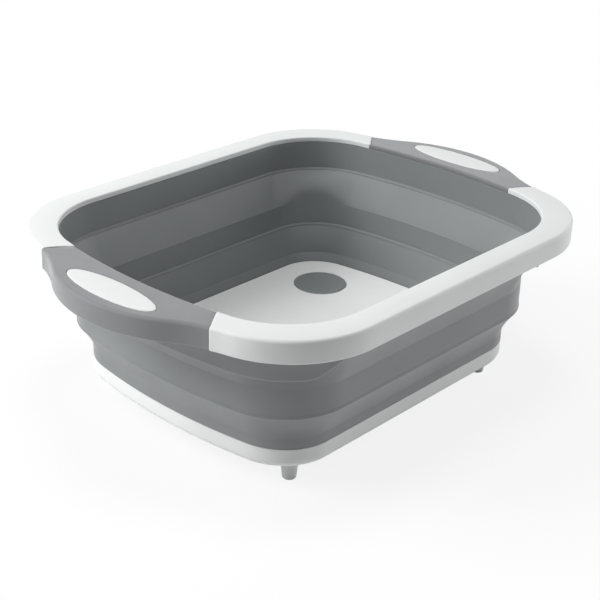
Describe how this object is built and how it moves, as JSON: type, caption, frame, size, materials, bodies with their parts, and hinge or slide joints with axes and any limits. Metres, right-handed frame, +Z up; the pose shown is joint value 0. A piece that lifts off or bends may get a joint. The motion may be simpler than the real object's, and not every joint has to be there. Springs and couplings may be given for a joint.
{
  "type": "collapsible wash basin",
  "caption": "Rectangular wash basin that folds flat, with side handles, soft folding walls, a chopping-board base, a drain plug and short feet.",
  "frame": {"origin": "on the floor, under the middle of the basin, which stands expanded on its feet", "axes": "+X towards the handle nearest the drain, +Y towards the long side nearest the drain, +Z up"},
  "size_m": [0.376, 0.279, 0.124],
  "materials": {
    "white_plastic": "satin moulded",
    "grey_wall": "satin moulded",
    "grey_grip": "soft matte"
  },
  "bodies": {
    "base": {"base_board": "white_plastic", "lower_collar": "grey_wall", "foot_back_left": "white_plastic", "foot_back_right": "white_plastic", "foot_front_left": "white_plastic", "foot_front_right": "white_plastic"},
    "middle": {"middle_band": "grey_wall", "lower_fold": "grey_wall"},
    "rim": {"rim_frame": "white_plastic", "grip_left": "grey_grip", "grip_right": "grey_grip", "upper_band": "grey_wall", "upper_fold": "grey_wall"},
    "plug": {"drain_plug": "grey_grip"}
  },
  "joints": [
    {"name": "middle_slide", "type": "slide", "parent": "base", "child": "middle", "axis": [0, 0, -1], "range_m": [0, 0.04], "deforming": ["lower_fold"]},
    {"name": "rim_slide", "type": "slide", "parent": "middle", "child": "rim", "axis": [0, 0, -1], "range_m": [0, 0.0452], "deforming": ["upper_fold"]},
    {"name": "plug_lift", "type": "slide", "parent": "base", "child": "plug", "axis": [0, 0, 1], "range_m": [0, 0.15]}
  ],
  "couplings": [
    {"joint": "middle_slide", "follows": "rim_slide", "ratio": 0.8849}
  ]
}
